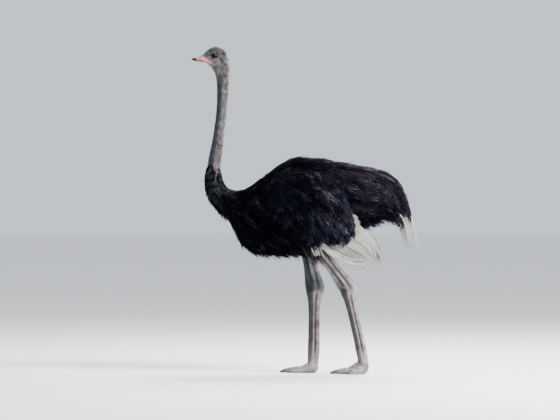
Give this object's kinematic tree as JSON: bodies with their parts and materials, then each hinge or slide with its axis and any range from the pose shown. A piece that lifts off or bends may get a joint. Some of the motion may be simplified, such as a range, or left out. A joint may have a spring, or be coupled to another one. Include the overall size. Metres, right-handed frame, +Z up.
{
  "type": "ostrich",
  "caption": "Adult male common ostrich standing mid-stride, life size: long bare neck raised, black body feathers, white wing and tail plumes, strong two-toed legs.",
  "frame": {"origin": "on the floor under the middle of the bird's bounding box", "axes": "+Z up, -X the way the bird faces, +Y its right side, which is away from the picture's camera"},
  "size_m": [1.4864, 0.5644, 2.1436],
  "materials": {
    "black_feathers": "matte to silky black feathers with a cool sheen",
    "body_feathers": "black feathers over flesh",
    "white_plumes": "soft white plumes",
    "neck_down": "grey skin under sparse hair-like down",
    "leg_skin": "matte bare skin with scutes",
    "bill_horn": "smooth horn, dark at the tip",
    "claw_horn": "dark horn",
    "eye": "wet dark brown"
  },
  "bodies": {
    "root": {"head": "neck_down", "bill_upper": "bill_horn", "bill_lower": "bill_horn", "eye_left": "eye", "eye_right": "eye", "neck_upper": "neck_down", "neck_middle": "neck_down", "neck_lower": "body_feathers", "trunk": "body_feathers", "tail": "black_feathers", "tail_plumes": "white_plumes", "wing_left": "black_feathers", "wing_right": "black_feathers", "wing_left_plumes": "white_plumes", "wing_right_plumes": "white_plumes", "shank_left": "leg_skin", "shank_right": "leg_skin", "tarsus_left": "leg_skin", "tarsus_right": "leg_skin", "toe_middle_left": "leg_skin", "toe_middle_right": "leg_skin", "toe_outer_left": "leg_skin", "toe_outer_right": "leg_skin", "claw_left": "claw_horn", "claw_right": "claw_horn"}
  },
  "joints": []
}
